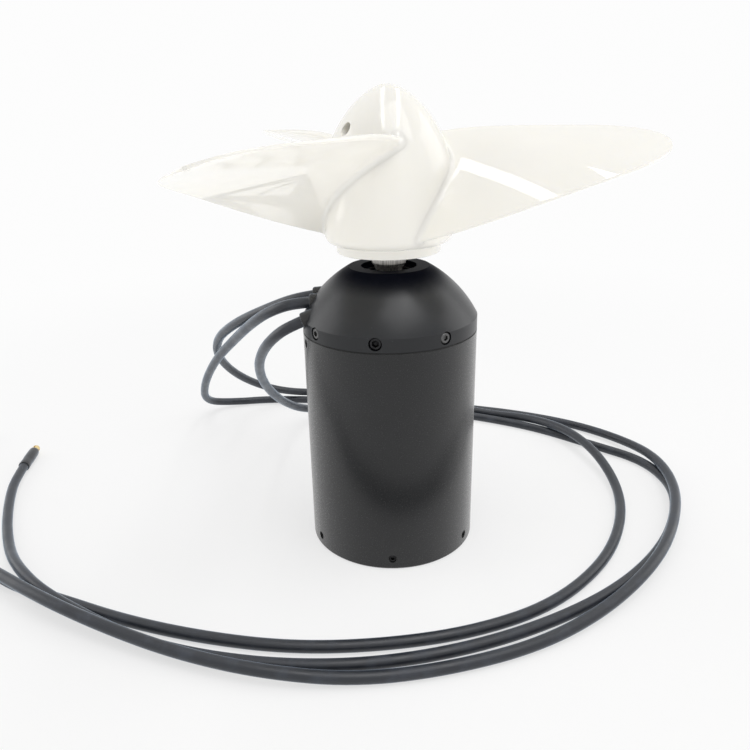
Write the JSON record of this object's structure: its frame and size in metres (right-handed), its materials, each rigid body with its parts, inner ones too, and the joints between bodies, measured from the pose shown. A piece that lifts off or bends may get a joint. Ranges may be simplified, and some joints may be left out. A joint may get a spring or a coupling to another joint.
{
  "type": "paddle board motor",
  "caption": "Sealed round motor with a domed top, a bladed propeller on its shaft and free phase wires with bullet plugs.",
  "frame": {"origin": "centre of the base, on the shaft's axis", "axes": "+Z along the shaft towards the propeller's nose, -Y towards the filler plug's side"},
  "size_m": [0.3914, 0.2463, 0.1834],
  "materials": {
    "anodised_can": "satin black anodised",
    "anodised_dome": "satin black anodised",
    "bare_aluminium": "machined",
    "seal_rubber": "matte black",
    "black_screw": "black oxide",
    "steel_screw": "plain stainless",
    "black_spring_steel": "phosphated",
    "bearing_steel": "polished",
    "lamination_steel": "rolled",
    "copper_wire": "enamelled copper",
    "magnet_nickel": "nickel plated",
    "shaft_steel": "ground stainless",
    "propeller_plastic": "glossy moulded",
    "wire_silicone": "satin silicone",
    "heatshrink_plastic": "satin",
    "gold_plate": "gold plated"
  },
  "bodies": {
    "housing": {"housing_tube": "anodised_can", "base_cover": "anodised_can", "base_o_ring": "seal_rubber", "base_screws": "black_screw", "front_plate": "bare_aluminium", "plate_o_ring": "seal_rubber", "tube_lock_screw": "black_screw", "dome_cap": "anodised_dome", "dome_screws": "steel_screw", "filler_plug": "black_screw", "shaft_seal": "seal_rubber", "seal_circlip": "black_spring_steel", "bearing_circlip": "black_spring_steel", "front_bearing_outer_ring": "bearing_steel", "front_bearing_balls": "bearing_steel", "rear_bearing_outer_ring": "bearing_steel", "rear_bearing_balls": "bearing_steel", "preload_washer": "bearing_steel", "stator_core": "lamination_steel", "stator_windings": "copper_wire", "wire_grommet_a": "seal_rubber", "phase_wire_a": "wire_silicone", "heatshrink_a": "heatshrink_plastic", "bullet_pin_a": "gold_plate", "wire_grommet_b": "seal_rubber", "phase_wire_b": "wire_silicone", "heatshrink_b": "heatshrink_plastic", "bullet_pin_b": "gold_plate", "wire_grommet_c": "seal_rubber", "phase_wire_c": "wire_silicone", "heatshrink_c": "heatshrink_plastic", "bullet_pin_c": "gold_plate"},
    "rotor": {"shaft": "shaft_steel", "rotor_core": "lamination_steel", "rotor_magnets": "magnet_nickel", "rotor_spacer": "bare_aluminium", "front_bearing_inner_ring": "bearing_steel", "rear_bearing_inner_ring": "bearing_steel", "hub_insert": "shaft_steel", "propeller": "propeller_plastic", "propeller_set_screw": "steel_screw"}
  },
  "joints": [
    {"name": "propeller_spin", "type": "hinge", "parent": "housing", "child": "rotor", "pos_m": [0, 0, 0.1], "axis": [0, 0, 1], "continuous": true}
  ]
}
